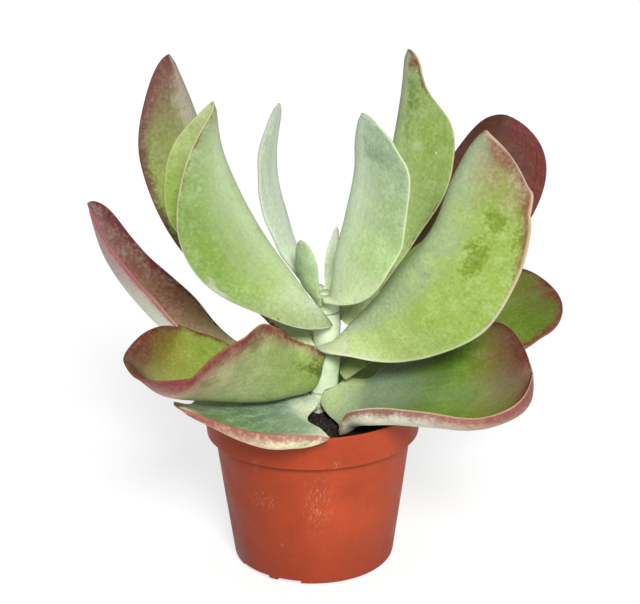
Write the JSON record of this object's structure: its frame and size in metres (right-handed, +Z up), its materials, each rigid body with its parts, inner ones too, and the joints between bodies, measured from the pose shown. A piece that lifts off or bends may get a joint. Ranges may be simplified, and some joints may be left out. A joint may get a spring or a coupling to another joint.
{
  "type": "potted paddle plant",
  "caption": "Rosette succulent with broad round-ended fleshy leaves on a short thick stem, growing in a tapered plastic nursery pot filled with soil.",
  "frame": {"origin": "centre of the pot's flat underside, on the surface that the plant stands on", "axes": "+Z up; the picture's view looks along +Y, with +X to its right"},
  "size_m": [0.2641, 0.1659, 0.2731],
  "materials": {
    "pot_plastic": "satin",
    "potting_soil": "matte",
    "pale_stem": "matte",
    "leaf_pale_underside": "satin",
    "leaf_green_brown_edge": "satin",
    "leaf_brown_red": "satin",
    "leaf_red_margin": "satin",
    "leaf_maroon": "satin",
    "leaf_olive_red": "satin",
    "leaf_bright_green": "satin",
    "leaf_pale_bloom": "matte"
  },
  "bodies": {
    "root": {"pot": "pot_plastic", "soil": "potting_soil", "stem": "pale_stem", "leaf_pair1_left": "leaf_pale_underside", "leaf_pair1_right": "leaf_green_brown_edge", "leaf_pair2_left": "leaf_brown_red", "leaf_pair2_right": "leaf_green_brown_edge", "leaf_pair3_left": "leaf_red_margin", "leaf_pair3_right": "leaf_maroon", "leaf_pair4_left": "leaf_olive_red", "leaf_pair4_right": "leaf_bright_green", "leaf_pair5_left": "leaf_bright_green", "leaf_pair5_right": "leaf_bright_green", "leaf_pair6_left": "leaf_pale_bloom", "leaf_pair6_right": "leaf_pale_bloom", "leaf_pair7_left": "leaf_pale_bloom", "leaf_pair7_right": "leaf_pale_bloom"}
  },
  "joints": []
}
